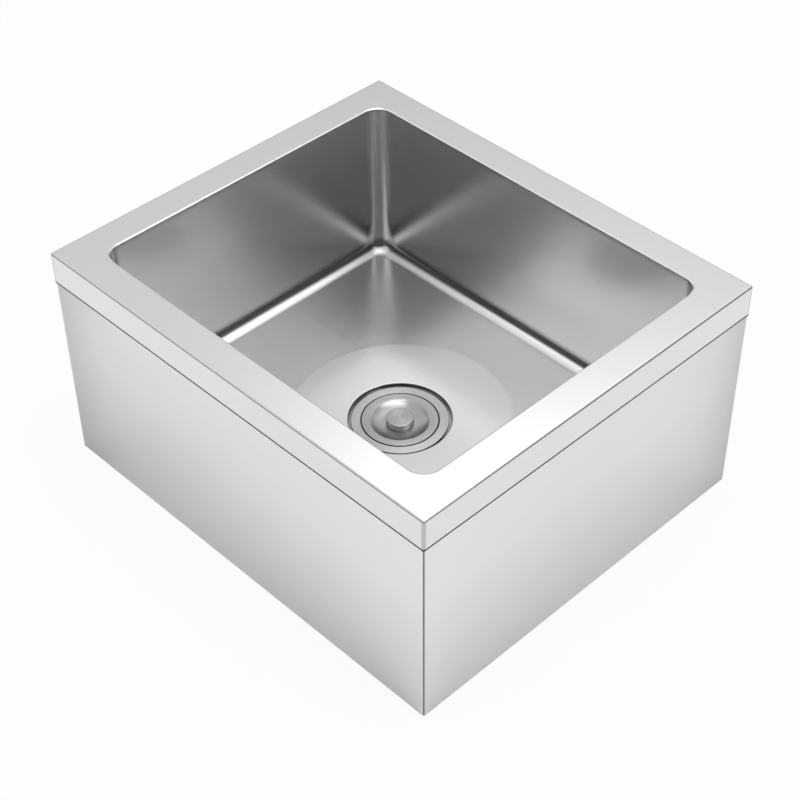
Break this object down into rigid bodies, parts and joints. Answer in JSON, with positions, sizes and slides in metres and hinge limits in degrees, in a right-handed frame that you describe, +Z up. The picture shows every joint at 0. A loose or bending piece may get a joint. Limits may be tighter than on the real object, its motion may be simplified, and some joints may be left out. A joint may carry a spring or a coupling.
{
  "type": "mop service sink",
  "caption": "Free-standing stainless box sink with a flat rim, folded skirt, deep rounded bowl, lift-out strainer basket and lift-off cover.",
  "frame": {"origin": "on the floor, under the middle of the deck", "axes": "+X along the longer side, +Y towards the back, +Z up; -Y is the front"},
  "size_m": [0.58, 0.5, 0.29],
  "materials": {
    "brushed_steel": "fine brushed stainless sheet, satin",
    "bowl_steel": "satin drawn stainless sheet",
    "mill_steel": "plain mill finish",
    "turned_steel": "circular brushed, bright",
    "black_rubber": "matt",
    "grey_butyl": "matt",
    "white_plastic": "moulded, satin",
    "fibre": "pressed fibre, matt"
  },
  "bodies": {
    "root": {"rim_deck": "brushed_steel", "bowl": "bowl_steel", "casing_front": "brushed_steel", "casing_right": "brushed_steel", "casing_back": "brushed_steel", "casing_left": "brushed_steel", "corner_post_front_left": "mill_steel", "corner_post_front_right": "mill_steel", "corner_post_back_right": "mill_steel", "corner_post_back_left": "mill_steel", "support_rail_left": "mill_steel", "support_rail_right": "mill_steel", "rail_pad_left": "black_rubber", "rail_pad_right": "black_rubber", "sound_pad_front": "grey_butyl", "sound_pad_right": "grey_butyl", "sound_pad_back": "grey_butyl", "sound_pad_left": "grey_butyl", "strainer_body": "turned_steel", "flange_gasket": "black_rubber", "under_gasket": "black_rubber", "friction_washer": "fibre", "lock_nut": "white_plastic", "tail_washer": "black_rubber", "tailpiece": "white_plastic", "slip_nut": "white_plastic"},
    "basket": {"basket": "turned_steel", "stopper_seal": "black_rubber", "basket_post": "turned_steel", "post_nut": "turned_steel"},
    "cover": {"cover_plate": "turned_steel", "cover_knob": "turned_steel", "knob_washer": "black_rubber", "knob_screw": "turned_steel"}
  },
  "joints": [
    {"name": "basket_lift", "type": "slide", "parent": "root", "child": "basket", "axis": [0, 0, 1], "range_m": [0, 0.28]},
    {"name": "cover_lift", "type": "slide", "parent": "basket", "child": "cover", "axis": [0, 0, 1], "range_m": [0, 0.25]}
  ]
}
